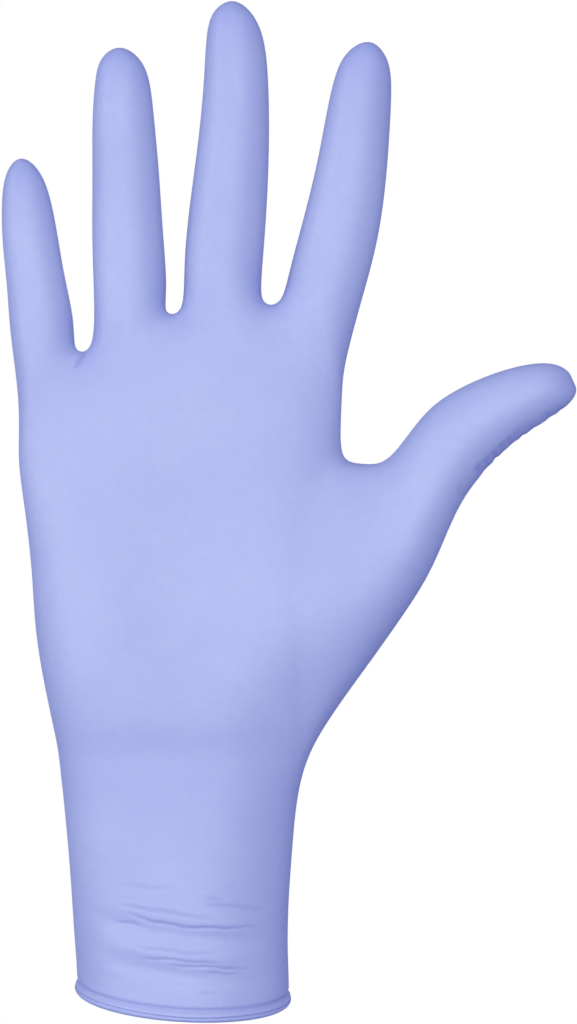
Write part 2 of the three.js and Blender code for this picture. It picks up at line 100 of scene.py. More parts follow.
# The gap between two fingers, at its floor and at the palm in front of it.
WEB_GAP = 0.0034
WEB_MOUTH = 0.009
WEB_FORWARD = 0.11  # how far the floor lies towards the palm side, as a share of PALM_DEPTH

# Creases of the film: half of the width and the depth of a plain one, and the waves across the
# hand that each follows, with the steepness in radians for a metre.
CREASE_WIDTH = 0.00038
CREASE_DEPTH = 0.00028
CREASE_WAVES = [
    dict(high=0.00012, steep=700, start=0),
    dict(high=0.00006, steep=1900, start=1),
]
CREASE_TAPER = 6  # how steeply a crease of the cuff runs out at both ends
CREASE_FACING = 3  # how steeply it sets in where the skin turns to its side

# Sections of the cuff, from the rim up: the height is a share of CUFF_LENGTH, left, right and
# depths are shares of half of CUFF_WIDTH and CUFF_DEPTH, and dip is the share of the rim's slopes.
CUFF_SECTIONS = [
    dict(up=0.0, left=1.01, right=1.015, front=1.0, back=1.0, dip=1),
    dict(up=0.1, left=1.02, right=1.01, front=0.99, back=0.99, dip=0.9),
    dict(up=0.2, left=1.04, right=1.0, front=0.99, back=0.98, dip=0.8),
    dict(up=0.3, left=1.055, right=1.005, front=0.98, back=0.97, dip=0.7),
    dict(up=0.41, left=1.07, right=1.015, front=0.96, back=0.95, dip=0.58),
    dict(up=0.6, left=1.105, right=1.05, front=0.93, back=0.91, dip=0.4),
    dict(up=0.8, left=1.15, right=1.09, front=0.89, back=0.86, dip=0.2),
]

# Folds of the film round the cuff. Up is a share of CUFF_LENGTH, turn and reach are degrees round
# the cuff from the middle of the palm side towards the thumb, and slope is the rise over reach.
# Width is a share of CUFF_LENGTH and rise a share of CUFF_DEPTH, below zero for a crease.
CUFF_FOLDS = [
    dict(name="wrist_band", up=0.97, turn=-5, reach=75, slope=0, width=0.075, rise=-0.012),
    dict(name="upper_crease", up=0.285, turn=3, reach=52, slope=-0.03, width=0.035, rise=-0.014),
    dict(name="upper_roll", up=0.35, turn=5, reach=45, slope=-0.03, width=0.04, rise=0.008),
    dict(name="lower_crease", up=0.135, turn=2, reach=45, slope=-0.03, width=0.035, rise=-0.014),
    dict(name="lower_roll", up=0.21, turn=0, reach=45, slope=-0.02, width=0.035, rise=0.009),
    dict(name="back_crease", up=0.25, turn=175, reach=55, slope=0.03, width=0.04, rise=-0.012),
]

# Sections of the palm, from its heel up: the height is a share of PALM_LENGTH, left and right
# are shares of half of PALM_WIDTH, front and back of half of PALM_DEPTH. Arch is how much of
# FINGER_ARCH the section follows, fall how far it sinks at the back of the hand, as a share of
# PALM_DEPTH, and thumb is half of the angle that the thumb's root takes up in it, in degrees.
PALM_SECTIONS = [
    dict(up=0.0, left=0.77, right=0.79, front=1.3, back=1.26, arch=0, fall=0, thumb=20),
    dict(up=0.13, left=0.85, right=0.9, front=1.22, back=1.18, arch=0, fall=0, thumb=32),
    dict(up=0.26, left=0.908, right=1.02, front=1.14, back=1.1, arch=0, fall=0, thumb=42),
    dict(up=0.39, left=0.92, right=1.06, front=1.06, back=1.05, arch=0.1, fall=0.02, thumb=46),
    dict(up=0.525, left=0.95, right=1.06, front=0.98, back=1.02, arch=0.25, fall=0.04, thumb=42),
    dict(up=0.664, left=0.985, right=0.995, front=0.92, back=0.98, arch=0.5, fall=0.08, thumb=30),
    dict(up=0.76, left=1.0, right=0.97, front=0.86, back=0.94, arch=0.75, fall=0.16, thumb=18),
    dict(up=0.86, left=1.01, right=0.975, front=0.79, back=0.88, arch=1, fall=0.26, thumb=14),
]
THUMB_ROWS = dict(first=0, last=5)  # palm sections between which the thumb grows out

# The fingers stand on an arch: it peaks at this share of half of PALM_WIDTH and drops to both
# sides with the square of the distance, by this share of PALM_LENGTH at half of PALM_WIDTH.
FINGER_ARCH = dict(peak=0.4, drop=0.085)

# The three webs: where the floor of each lies, as shares of half of PALM_WIDTH and PALM_LENGTH.
WEBS = [
    dict(across=-0.6, up=0.907),
    dict(across=-0.055, up=0.993),
    dict(across=0.53, up=1.014),
]

# Where the outer edges of the little and index fingers leave the palm, in the same shares.
HAND_EDGES = [
    dict(across=-1.012, up=0.84),
    dict(across=1.0, up=0.93),
]

# The line on which the fingers stand. The falls lie below the webs' height, and the rounding is
# how far its ends lie inside the hand's edges, as shares of PALM_DEPTH. Middle and beside are
# half-thicknesses at a finger's middle and beside a web, as shares of the finger's depth.
KNUCKLE_LINE = dict(
    front_fall=0.15, side_fall=0.2, back_fall=0.5, rounding=0.1, middle=0.62, beside=0.54
)

# The fingers from the little one to the index: length, width and depth are shares of the middle
# finger's. Root and lean place the line that a finger follows, and each row of a profile is a
# ring: its place along the finger, aside from the line, its width and its depth.
FINGERS = [
    dict(
        name="little",
        length=0.668,
        width=0.833,
        depth=0.818,
        root=(-0.82, 0.875),
        lean=-8,
        bow=-0.04,
        profile=[
            (0.16, -0.02, 1.05, 1.05),
            (0.38, -0.02, 0.91, 0.98),
            (0.6, -0.02, 0.89, 0.93),
            (0.82, 0.01, 0.77, 0.79),
            (0.95, 0.01, 0.52, 0.52),
        ],
    ),
    dict(
        name="ring",
        length=0.934,
        width=0.944,
        depth=0.939,
        root=(-0.31, 0.94),
        lean=-2.4,
        bow=-0.05,
        profile=[
            (0.14, 0.01, 1.03, 1.05),
            (0.34, -0.01, 0.99, 1.0),
            (0.55, 0.01, 0.93, 0.96),
            (0.74, 0.0, 0.87, 0.88),
            (0.89, 0.02, 0.77, 0.77),
            (0.967, -0.01, 0.57, 0.54),
        ],
    ),
    dict(
        name="middle",
        length=1,
        width=1,
        depth=1,
        root=(0.24, 1.0),
        lean=1.7,
        bow=-0.05,
        profile=[
            (0.13, -0.01, 1.04, 1.05),
            (0.33, 0.04, 1.02, 1.0),
            (0.54, 0.09, 0.93, 0.96),
            (0.73, 0.1, 0.85, 0.87),
            (0.88, 0.07, 0.78, 0.77),
            (0.966, 0.015, 0.56, 0.54),
        ],
    ),
    dict(
        name="index",
        length=0.934,
        width=0.972,
        depth=0.97,
        root=(0.79, 0.965),
        lean=10.6,
        bow=-0.05,
        profile=[
            (0.14, 0.09, 1.06, 1.06),
            (0.34, 0.15, 1.05, 1.0),
            (0.55, 0.15, 0.95, 0.95),
            (0.74, 0.1, 0.87, 0.87),
            (0.89, 0.07, 0.77, 0.77),
            (0.967, 0.07, 0.52, 0.52),
        ],
    ),
]

# Rings of the thumb from the palm to the tip: out, up and forward are shares of THUMB_LENGTH,
# width and depth of THUMB_WIDTH, and lean is the ring's turn in degrees. The tip's middle line
# spreads over a share of the last ring's width.
THUMB_ROOT = dict(across=0.96, up=0.62)
THUMB_SECTIONS = [
    dict(out=0.095, up=-0.4, width=2.82, depth=1.16, forward=0.04, lean=2),
    dict(out=0.217, up=-0.296, width=2.1, depth=1.24, forward=0.075, lean=8),
    dict(out=0.318, up=-0.16, width=1.77, depth=1.24, forward=0.11, lean=15),
    dict(out=0.42, up=0.056, width=1.34, depth=1.2, forward=0.14, lean=20),
    dict(out=0.541, up=0.174, width=1.14, depth=1.13, forward=0.17, lean=27),
    dict(out=0.675, up=0.265, width=0.97, depth=1.04, forward=0.19, lean=27),
    dict(out=0.82, up=0.331, width=0.83, depth=0.94, forward=0.2, lean=27),
    dict(out=0.925, up=0.366, width=0.62, depth=0.68, forward=0.2, lean=24),
]
THUMB_TIP = dict(out=0.993, up=0.378, forward=0.195, spread=0.68)

# Soft swellings and hollows of the hand under the film. Across and up are the middle, and wide
# and high how far it reaches, as shares of half of PALM_WIDTH and of PALM_LENGTH. Rise is a
# share of PALM_DEPTH, and facing -1 is the palm.
SWELLINGS = [
    dict(name="thumb_mound", across=0.8, up=0.3, wide=0.6, high=0.3, rise=0.22, facing=-1),
    dict(name="heel_mound", across=-0.6, up=0.27, wide=0.38, high=0.3, rise=0.14, facing=-1),
    dict(name="palm_hollow", across=0.1, up=0.52, wide=0.42, high=0.24, rise=-0.05, facing=-1),
    dict(name="wrist_hollow", across=-0.05, up=-0.08, wide=0.6, high=0.12, rise=-0.07, facing=-1),
    dict(name="mound_foot", across=0.6, up=0.0, wide=0.25, high=0.14, rise=-0.08, facing=-1),
    dict(name="little_knuckle", across=-0.78, up=0.7, wide=0.18, high=0.11, rise=0.04, facing=1),
    dict(name="ring_knuckle", across=-0.32, up=0.77, wide=0.2, high=0.12, rise=0.06, facing=1),
    dict(name="middle_knuckle", across=0.22, up=0.8, wide=0.2, high=0.12, rise=0.07, facing=1),
    dict(name="index_knuckle", across=0.7, up=0.77, wide=0.2, high=0.12, rise=0.06, facing=1),
]

# Fine creases. Deep and wide are in plain creases, and a line is a row of places across and up. On
# the cuff these are shares of half of CUFF_WIDTH and of CUFF_LENGTH, from the middle of the
# opening.
FRONT_CREASES = [
    dict(deep=0.5, wide=1.2, line=[(-0.57, 0.441), (-0.3, 0.434), (-0.06, 0.433)]),
    dict(deep=0.6, wide=1.1, line=[(0.22, 0.39), (0.41, 0.381)]),
    dict(deep=1, wide=1, line=[(-0.6, 0.361), (-0.2, 0.345), (0.1, 0.322), (0.33, 0.309)]),
    dict(deep=0.8, wide=1, line=[(0.2, 0.363), (0.45, 0.36), (0.62, 0.345), (0.8, 0.33)]),
    dict(deep=1.2, wide=1, line=[(-0.54, 0.335), (-0.3, 0.302), (0.02, 0.276), (0.34, 0.27), (0.74, 0.269)]),
    dict(deep=0.8, wide=0.9, line=[(-0.63, 0.291), (-0.5, 0.29), (-0.35, 0.275)]),
    dict(deep=0.8, wide=1, line=[(-0.45, 0.198), (-0.2, 0.192), (0.02, 0.177), (0.38, 0.169)]),
    dict(deep=0.9, wide=1, line=[(-0.42, 0.152), (-0.1, 0.146), (0.25, 0.131), (0.4, 0.129)]),
    dict(deep=0.9, wide=1, line=[(-0.1, 0.122), (0.2, 0.118), (0.5, 0.106), (0.62, 0.098)]),
    dict(deep=0.7, wide=0.9, line=[(0.22, 0.092), (0.38, 0.086), (0.56, 0.083)]),
    dict(deep=0.5, wide=1, line=[(0.18, 0.012), (0.28, 0.008), (0.36, 0.008)]),
]
BACK_CREASES = [
    dict(deep=0.8, wide=1.1, line=[(-0.55, 0.4), (-0.1, 0.37), (0.4, 0.385)]),
    dict(deep=0.9, wide=1, line=[(-0.2, 0.31), (0.2, 0.3), (0.62, 0.33)]),
    dict(deep=0.9, wide=1, line=[(-0.66, 0.27), (-0.3, 0.24), (0.1, 0.235)]),
    dict(deep=0.7, wide=1, line=[(-0.3, 0.17), (0.1, 0.15), (0.5, 0.165)]),
]

# In the web beside the little finger they are shares of half of PALM_WIDTH and of PALM_LENGTH,
# from the heel.
WEB_CREASES = [
    dict(deep=2.2, wide=1.2, line=[(-0.598, 0.885), (-0.633, 0.86)]),
]

# Under the thumb they are shares of THUMB_LENGTH, from its root.
THUMB_CREASES = [
    dict(deep=0.7, wide=1.7, line=[(0.508, -0.093), (0.49, -0.077)]),
    dict(deep=1.6, wide=1.7, line=[(0.593, -0.007), (0.575, 0.009)]),
    dict(deep=1.3, wide=1.7, line=[(0.623, 0.022), (0.605, 0.038)]),
    dict(deep=1.6, wide=1.7, line=[(0.652, 0.052), (0.634, 0.068)]),
    dict(deep=1.2, wide=1.7, line=[(0.685, 0.085), (0.667, 0.101)]),
    dict(deep=1.5, wide=1.7, line=[(0.718, 0.11), (0.7, 0.126)]),
    dict(deep=1.1, wide=1.7, line=[(0.756, 0.139), (0.738, 0.155)]),
    dict(deep=0.9, wide=1.7, line=[(0.809, 0.168), (0.791, 0.184)]),
    dict(deep=0.8, wide=1.7, line=[(0.88, 0.214), (0.862, 0.23)]),
    dict(deep=0.5, wide=1.7, line=[(0.926, 0.243), (0.908, 0.259)]),
]

# What the creases lie on, and the side of the skin that they are pressed into: -1 is the palm
# side, 1 the back and 0 both.
CREASE_GROUPS = [
    dict(on="cuff", facing=-1, creases=FRONT_CREASES),
    dict(on="cuff", facing=1, creases=BACK_CREASES),
    dict(on="hand", facing=-1, creases=WEB_CREASES),
    dict(on="thumb", facing=0, creases=THUMB_CREASES),
]

# Painted shade: the colour is made deeper at the fingertips, the thumb's tip, the webs and the
# wrist, where shade falls. Each has a reach across, deep and up, and a share of the deepest tone.
TIP_PAINTED_SHADE = dict(reach=(0.013, 0.013, 0.013), share=1)
THUMB_PAINTED_SHADE = dict(reach=(0.01, 0.01, 0.01), share=0.7)
WEB_PAINTED_SHADE = dict(reach=(0.009, 0.009, 0.009), share=1)
WRIST_PAINTED_SHADE = dict(reach=(0.034, 0.02, 0.011), share=0.6)
WRIST_MIDDLE = dict(across=-0.2, up=0.88)  # shares of half of CUFF_WIDTH and of CUFF_LENGTH

# How the net runs round the palm: twelve columns in front, one at the right edge, twelve at
# the back and one at the left edge.
FRONT_COLUMNS = 12
RIGHT_COLUMN = FRONT_COLUMNS
LEFT_COLUMN = 2 * FRONT_COLUMNS + 1
COLUMNS = 2 * FRONT_COLUMNS + 2
COLUMN_STEP = 180 / (FRONT_COLUMNS + 1)  # degrees

# How finely the skins are divided. The rows of the cuff that carry creases are divided again.
OUTER_LEVEL = 3
INNER_LEVEL = 2
FINE_ROWS = 44
FINE_PARTS = 3

FINGER_SIDES = 8  # points in each ring of a finger

# The nitrile's tones, as 8-bit colours, and the sizes of the features in it. The two deepest
# tones are painted shade, at the fingertips, webs and wrist and in the creases.
NITRILE = (168, 177, 219)
PALE_NITRILE = (174, 183, 223)
FLECKED_NITRILE = (163, 172, 217)
# Painted shade at the fingertips, the thumb's tip, the webs and the wrist.
PAINTED_SHADE_NITRILE = (146, 157, 212)
# Painted shade in the creases, in the nip above the bead and in the bead's groove.
PAINTED_CREASE_SHADE = (134, 143, 204)
MOTTLE_SIZE = 0.028
DRAWN_SIZE = 0.009
FLECK_SIZE = 0.0016
GRAIN_SIZE = 0.00035

# The studio. The floor fades into the white surroundings between two distances, and glows a
# little, like a table with a light in it. The surroundings are white to the eye, and light the
# glove in a softer tone.
FLOOR_DROP = 0.06  # how far it lies below the glove
FLOOR_RADIUS = 1.2
FLOOR_SIDES = 64
FLOOR_FADE = (0.12, 0.5)
FLOOR_GLOW = 0.4
FLOOR_TONES = ((243, 243, 246), (250, 250, 252))
SURROUNDINGS_SEEN = (1, 1, 1, 1)
SURROUNDINGS_LIGHT = (0.24, 0.27, 0.55, 1)

# Softboxes, all turned to the middle of the hand. The light behind gives no gloss, so that none
# of it edges the palm side.
MIDDLE = (0.02, 0, 0.11)
LIGHT_TONE = (1, 0.985, 0.8)
SOFTBOXES = [
    dict(name="front_light", place=(0.05, -1.85, 0.22), size=(2.6, 0.9), power=24, gloss=True),
    dict(name="back_light", place=(0.05, 1.9, 0.15), size=(1.2, 0.8), power=26, gloss=False),
    dict(name="upper_light", place=(0.5, -1.45, 1.25), size=(1.2, 0.9), power=6.5, gloss=True),
    dict(name="side_light", place=(-1.65, -0.85, 0.45), size=(0.9, 0.9), power=12.5, gloss=True),
]

CAMERA_PLACE = (0.025, -1.1, 0.1126)
CAMERA_LENS = 163.2
CAMERA_SENSOR = 36

vertices = []
patches = []
painted_shade_spots = []


def add_vertex(x, y, z):
    vertices.append((x, y, z))
    return len(vertices) - 1


def mix(a, b, share):
    return a + (b - a) * share


def ring_shrink(count):
    """A smoothed ring lies inside its control points by this factor."""
    return 2 / 3 + math.cos(2 * math.pi / count) / 3


def back_column(column):
    return LEFT_COLUMN - 1 - column


def column_angle(column, right_step=COLUMN_STEP):
    """Angle of a column round the section, counted from the right edge over the back.

    The columns beside the right edge leave it by right_step, and the others share the rest.
    """
    if column == RIGHT_COLUMN:
        return 0
    if column == LEFT_COLUMN:
        return math.pi
    on_back = column > RIGHT_COLUMN
    place = column - RIGHT_COLUMN - 1 if on_back else RIGHT_COLUMN - 1 - column
    angle = math.radians(mix(right_step, 180 - COLUMN_STEP, place / (FRONT_COLUMNS - 1)))
    return angle if on_back else -angle


def section_point(angle, row, width, depth, power):
    """A point on a rounded section whose half-sizes differ to each side."""
    across = math.copysign(abs(math.cos(angle)) ** (2 / power), math.cos(angle))
    deep = math.copysign(abs(math.sin(angle)) ** (2 / power), math.sin(angle))
    side = row["left"] if across < 0 else row["right"]
    face = row["front"] if deep < 0 else row["back"]
    return across * side * width / 2, deep * face * depth / 2


def rim_height(x, y):
    """Height of the rim's plane above the origin."""
    return y * math.tan(RIM_TILT) - x * math.tan(RIM_LEAN)


def palm_height(up):
    return CUFF_LENGTH + up * PALM_LENGTH


def cuff_ring(row):
    ring = []
    for column in range(COLUMNS):
        x, y = section_point(column_angle(column), row, CUFF_WIDTH, CUFF_DEPTH, CUFF_POWER)
        ring.append(add_vertex(x, y, row["up"] * CUFF_LENGTH + row["dip"] * rim_height(x, y)))
    return ring


def arch_drop(x):
    """How far below its peak the arch of the fingers lies at a place across the hand."""
    across = x / (PALM_WIDTH / 2) - FINGER_ARCH["peak"]
    return FINGER_ARCH["drop"] * PALM_LENGTH * across**2


def palm_ring(row, index):
    """A ring of the palm. Inside the thumb's root it has no point at the right edge."""
    in_thumb = THUMB_ROWS["first"] < index < THUMB_ROWS["last"]
    ring = []
    for column in range(COLUMNS):
        if in_thumb and column == RIGHT_COLUMN:
            ring.append(None)
            continue
        angle = column_angle(column, row["thumb"])
        x, y = section_point(angle, row, PALM_WIDTH, PALM_DEPTH, PALM_POWER)
        back_share = (1 + math.sin(angle)) / 2
        sink = row["arch"] * arch_drop(x) + row["fall"] * PALM_DEPTH * back_share
        ring.append(add_vertex(x, y, palm_height(row["up"]) - sink))
    return ring


def place_ring(centre, u, half_width, half_depth, angles):
    """Places a ring of control points: u runs along the ring's plane, and its depth along Y."""
    shrink = ring_shrink(len(angles))
    ring = []
    for angle in angles:
        across = math.cos(angle) * half_width / shrink
        deep = math.sin(angle) * half_depth / shrink
        x, y, z = centre
        ring.append(add_vertex(x + u[0] * across, y + deep, z + u[1] * across))
    return ring


def join_rings(lower, upper):
    """Joins two rings of the same count with patches."""
    for i, corner in enumerate(lower):
        following = (i + 1) % len(lower)
        patches.append((corner, lower[following], upper[following], upper[i]))


def knuckle_ring():
    """The ring on which the fingers stand, at the top of the palm."""
    half = PALM_WIDTH / 2
    rounding = KNUCKLE_LINE["rounding"] * PALM_DEPTH
    insets = [rounding] + [WEB_MOUTH / 2] * len(WEBS) + [rounding]
    edges = [HAND_EDGES[0], *WEBS, HAND_EDGES[1]]
    ring = [None] * COLUMNS
    for f, finger in enumerate(FINGERS):
        start, end = edges[f], edges[f + 1]
        start_x = start["across"] * half + insets[f]
        end_x = end["across"] * half - insets[f + 1]
        places = [
            (start_x, start["up"], KNUCKLE_LINE["beside"]),
            ((start_x + end_x) / 2, max(start["up"], end["up"]), KNUCKLE_LINE["middle"]),
            (end_x, end["up"], KNUCKLE_LINE["beside"]),
        ]
        for i, (x, up, thick) in enumerate(places):
            column = 3 * f + i
            y = thick * finger["depth"] * FINGER_DEPTH
            front = palm_height(up) - KNUCKLE_LINE["front_fall"] * PALM_DEPTH
            back = palm_height(up) - KNUCKLE_LINE["back_fall"] * PALM_DEPTH
            ring[column] = add_vertex(x, -y, front)
            ring[back_column(column)] = add_vertex(x, y, back)
    for column, edge in ((LEFT_COLUMN, HAND_EDGES[0]), (RIGHT_COLUMN, HAND_EDGES[1])):
        height = palm_height(edge["up"]) - KNUCKLE_LINE["side_fall"] * PALM_DEPTH
        ring[column] = add_vertex(edge["across"] * half, 0, height)
    return ring


def web_points():
    """The floor of each web has one point on the side of each of its two fingers."""
    points = []
    for web in WEBS:
        x = web["across"] * PALM_WIDTH / 2
        y = -WEB_FORWARD * PALM_DEPTH
        z = palm_height(web["up"])
        points.append([add_vertex(x + side * WEB_GAP / 2, y, z) for side in (-1, 1)])
        # A spot of painted shade at the web.
        painted_shade_spots.append(((x, y, z), WEB_PAINTED_SHADE))
    return points


def finger_foot(f, ring, floors):
    """The eight points of the knuckle ring on which a finger stands, front left first."""
    left = ring[LEFT_COLUMN] if f == 0 else floors[f - 1][1]
    right = ring[RIGHT_COLUMN] if f == len(FINGERS) - 1 else floors[f][0]
    front = [3 * f, 3 * f + 1, 3 * f + 2]
    back = [back_column(column) for column in reversed(front)]
    return [*(ring[c] for c in front), right, *(ring[c] for c in back), left]


def close_ring(ring, middle, steps):
    """Closes a ring whose first points run along its front with a cap, over a middle line."""
    count = len(ring)
    front = ring[: steps + 1]
    back = [ring[count - 2 - i] for i in range(steps + 1)]
    line = [ring[count - 1], *middle, ring[steps + 1]]
    for i in range(steps):
        patches.append((front[i], front[i + 1], line[i + 1], line[i]))
        patches.append((line[i], line[i + 1], back[i + 1], back[i]))


TIP_SHRINK = 4 / 9  # a smoothed tip lies this far from the last ring towards its control point


def add_finger(finger, foot):
    length = finger["length"] * FINGER_LENGTH
    width = finger["width"] * FINGER_WIDTH
    depth = finger["depth"] * FINGER_DEPTH
    lean = math.radians(finger["lean"])
    line = (math.sin(lean), math.cos(lean))
    u = (line[1], -line[0])
    root = (finger["root"][0] * PALM_WIDTH / 2, palm_height(finger["root"][1]))
    angles = [(i + 5) * 2 * math.pi / FINGER_SIDES for i in range(FINGER_SIDES)]

    def at(along, aside):
        x = root[0] + line[0] * along * length + u[0] * aside * width
        z = root[1] + line[1] * along * length + u[1] * aside * width
        return x, finger["bow"] * length * along**2, z

    lower = foot
    for along, aside, ring_width, ring_depth in finger["profile"]:
        half = (ring_width * width / 2, ring_depth * depth / 2)
        ring = place_ring(at(along, aside), u, *half, angles)
        join_rings(lower, ring)
        lower = ring
    last_along, last_aside = finger["profile"][-1][:2]
    tip = at(last_along + (1 - last_along) / TIP_SHRINK, last_aside)
    close_ring(lower, [add_vertex(*tip)], 2)
    # A spot of painted shade at the fingertip.
    painted_shade_spots.append((at(1, last_aside), TIP_PAINTED_SHADE))


def thumb_foot(rings):
    """The loop of the palm's net on which the thumb stands, from its top at the front round."""
    rows = rings[THUMB_ROWS["first"] : THUMB_ROWS["last"] + 1][::-1]
    front = [ring[RIGHT_COLUMN - 1] for ring in rows]
    back = [ring[RIGHT_COLUMN + 1] for ring in rows][::-1]
    return [*front, rows[-1][RIGHT_COLUMN], *back, rows[0][RIGHT_COLUMN]]


def add_thumb(foot):
    count = len(foot)
    angles = [-(i + 1) * 2 * math.pi / count for i in range(count)]
    root = (THUMB_ROOT["across"] * PALM_WIDTH / 2, palm_height(THUMB_ROOT["up"]))

    def at(row):
        x = root[0] + row["out"] * THUMB_LENGTH
        z = root[1] + row["up"] * THUMB_LENGTH
        return x, -row["forward"] * THUMB_LENGTH, z

    lower = foot
    for row in THUMB_SECTIONS:
        lean = math.radians(row["lean"])
        half = (row["width"] * THUMB_WIDTH / 2, row["depth"] * THUMB_WIDTH / 2)
        ring = place_ring(at(row), (-math.sin(lean), math.cos(lean)), *half, angles)
        join_rings(lower, ring)
        lower = ring
    steps = (count - 4) // 2
    x, y, z = at(THUMB_TIP)
    middle = []
    for i in range(steps - 1):
        spread = THUMB_SECTIONS[-1]["width"] * THUMB_WIDTH * THUMB_TIP["spread"]
        across = (0.5 - (i + 1) / steps) * spread
        middle.append(add_vertex(x - math.sin(lean) * across, y, z + math.cos(lean) * across))
    close_ring(lower, middle, steps)
    # A spot of painted shade at the thumb's tip.
    painted_shade_spots.append(((x, y, z), THUMB_PAINTED_SHADE))


def build_net():
    rings = [cuff_ring(row) for row in CUFF_SECTIONS]
    rings += [palm_ring(row, index) for index, row in enumerate(PALM_SECTIONS)]
    top = knuckle_ring()
    rings.append(top)
    first_palm = len(CUFF_SECTIONS)
    thumb_rows = range(first_palm + THUMB_ROWS["first"], first_palm + THUMB_ROWS["last"])
    for r in range(len(rings) - 1):
        for c in range(COLUMNS):
            if c in (RIGHT_COLUMN - 1, RIGHT_COLUMN) and r in thumb_rows:
                continue
            d = (c + 1) % COLUMNS
            patches.append((rings[r][c], rings[r][d], rings[r + 1][d], rings[r + 1][c]))
    floors = web_points()
    for k, (a, b) in enumerate(floors):
        front = 3 * k + 2
        patches.append((top[front], top[front + 1], b, a))
        patches.append((a, b, top[back_column(front + 1)], top[back_column(front)]))
    for f, finger in enumerate(FINGERS):
        add_finger(finger, finger_foot(f, top, floors))
    add_thumb(thumb_foot(rings[first_palm:]))
    # A band of painted shade across the wrist.
    across = WRIST_MIDDLE["across"] * CUFF_WIDTH / 2
    painted_shade_spots.append(((across, -CUFF_DEPTH / 2, WRIST_MIDDLE["up"] * CUFF_LENGTH), WRIST_PAINTED_SHADE))


def smooth_skin(level):
    """The net as a smooth surface, as arrays of points and of four-sided faces."""
    mesh = bpy.data.meshes.new("net")
    mesh.from_pydata(vertices, [], patches)
    net = bpy.data.objects.new("net", mesh)
    bpy.context.scene.collection.objects.link(net)
    smoothing = net.modifiers.new("smoothing", "SUBSURF")
    smoothing.levels = level
    smoothing.use_limit_surface = True
    smoothing.quality = 6
    evaluated = net.evaluated_get(bpy.context.evaluated_depsgraph_get())
    smooth = evaluated.to_mesh()
    points = np.zeros(len(smooth.vertices) * 3)
    smooth.vertices.foreach_get("co", points)
    faces = np.zeros(len(smooth.loops), np.int32)
    smooth.loops.foreach_get("vertex_index", faces)
    evaluated.to_mesh_clear()
    bpy.data.objects.remove(net)
    bpy.data.meshes.remove(mesh)
    return points.reshape(-1, 3), faces.reshape(-1, 4)


def unit(vectors):
    lengths = np.linalg.norm(vectors, axis=-1, keepdims=True)
    return vectors / np.maximum(lengths, 1e-12)


def point_normals(points, faces):
    a, b, c, d = (points[faces[:, i]] for i in range(4))
    across = np.cross(c - a, d - b)
    normals = np.zeros_like(points)
    for i in range(4):
        np.add.at(normals, faces[:, i], across)
    return unit(normals)


def rim_edges(faces):
    """The edges of the opening, as a dict from each point to the next one round the rim."""
    edges = {}
    for face in faces.tolist():
        for a, b in zip(face, face[1:] + face[:1]):
            edges[(a, b)] = True
    return {a: b for a, b in edges if (b, a) not in edges}


def rim_loop(faces, points):
    """The rim's points in order, from the one furthest to the right."""
    following = rim_edges(faces)
    loop = [max(following, key=lambda i: points[i][0])]
    while following[loop[-1]] != loop[0]:
        loop.append(following[loop[-1]])
    return loop


def divide_rows(points, faces, rows, parts):
    """Divides the lowest rows of faces round the cuff into thinner ones."""
    owner = {}
    for f, face in enumerate(faces.tolist()):
        for i in range(4):
            owner[(face[i], face[(i + 1) % 4])] = (f, i)
    loop = rim_loop(faces, points)
    points = points.tolist()
    divided = set()
    thin = []
    for _ in range(rows):
        corners = []
        for i, a in enumerate(loop):
            f, k = owner[(a, loop[(i + 1) % len(loop)])]
            face = faces[f].tolist()
            divided.add(f)
            corners.append(face[(k + 3) % 4])
        levels = [loop]
        for part in range(1, parts):
            start = len(points)
            for low, high in zip(loop, corners):
                share = part / parts
                points.append([mix(p, q, share) for p, q in zip(points[low], points[high])])
            levels.append(list(range(start, start + len(loop))))
        levels.append(corners)
        for lower, upper in zip(levels, levels[1:]):
            for i, a in enumerate(lower):
                following = (i + 1) % len(lower)
                thin.append([a, lower[following], upper[following], upper[i]])
        loop = corners
    kept = [face for f, face in enumerate(faces.tolist()) if f not in divided]
    return np.array(points), np.array(kept + thin, np.int32)


def swell(points, normals):
    """Raises the swellings along Y on the side of the hand that they face."""
    half = PALM_WIDTH / 2
    for row in SWELLINGS:
        across = (points[:, 0] - row["across"] * half) / (row["wide"] * half)
        up = (points[:, 2] - palm_height(row["up"])) / (row["high"] * PALM_LENGTH)
        facing = np.maximum(0, normals[:, 1] * row["facing"])
        rise = row["facing"] * row["rise"] * PALM_DEPTH
        points[:, 1] += rise * facing * np.exp(-(across**2 + up**2))


def fold_cuff(points, normals):
    """Presses the folds of the cuff in or out along the skin's normals."""
    for fold in CUFF_FOLDS:
        turn = np.degrees(np.arctan2(points[:, 0], -points[:, 1]))
        aside = (turn - fold["turn"] + 180) % 360 - 180
        along = aside / fold["reach"]
        middle = (fold["up"] + fold["slope"] * along) * CUFF_LENGTH
        height = points[:, 2] - (1 - fold["up"]) * rim_height(points[:, 0], points[:, 1])
        up = (height - middle) / (fold["width"] * CUFF_LENGTH)
        press = np.exp(-(up**2) - along**4) * fold["rise"] * CUFF_DEPTH
        points += normals * press[:, None]


def crease_line(crease, on):
    """The places of a crease across and up, in metres."""
    line = np.array(crease["line"])
    if on == "cuff":
        return line * (CUFF_WIDTH / 2, CUFF_LENGTH)
    if on == "hand":
        return line * (PALM_WIDTH / 2, PALM_LENGTH) + (0, CUFF_LENGTH)
    root = (THUMB_ROOT["across"] * PALM_WIDTH / 2, palm_height(THUMB_ROOT["up"]))
    return line * THUMB_LENGTH + root


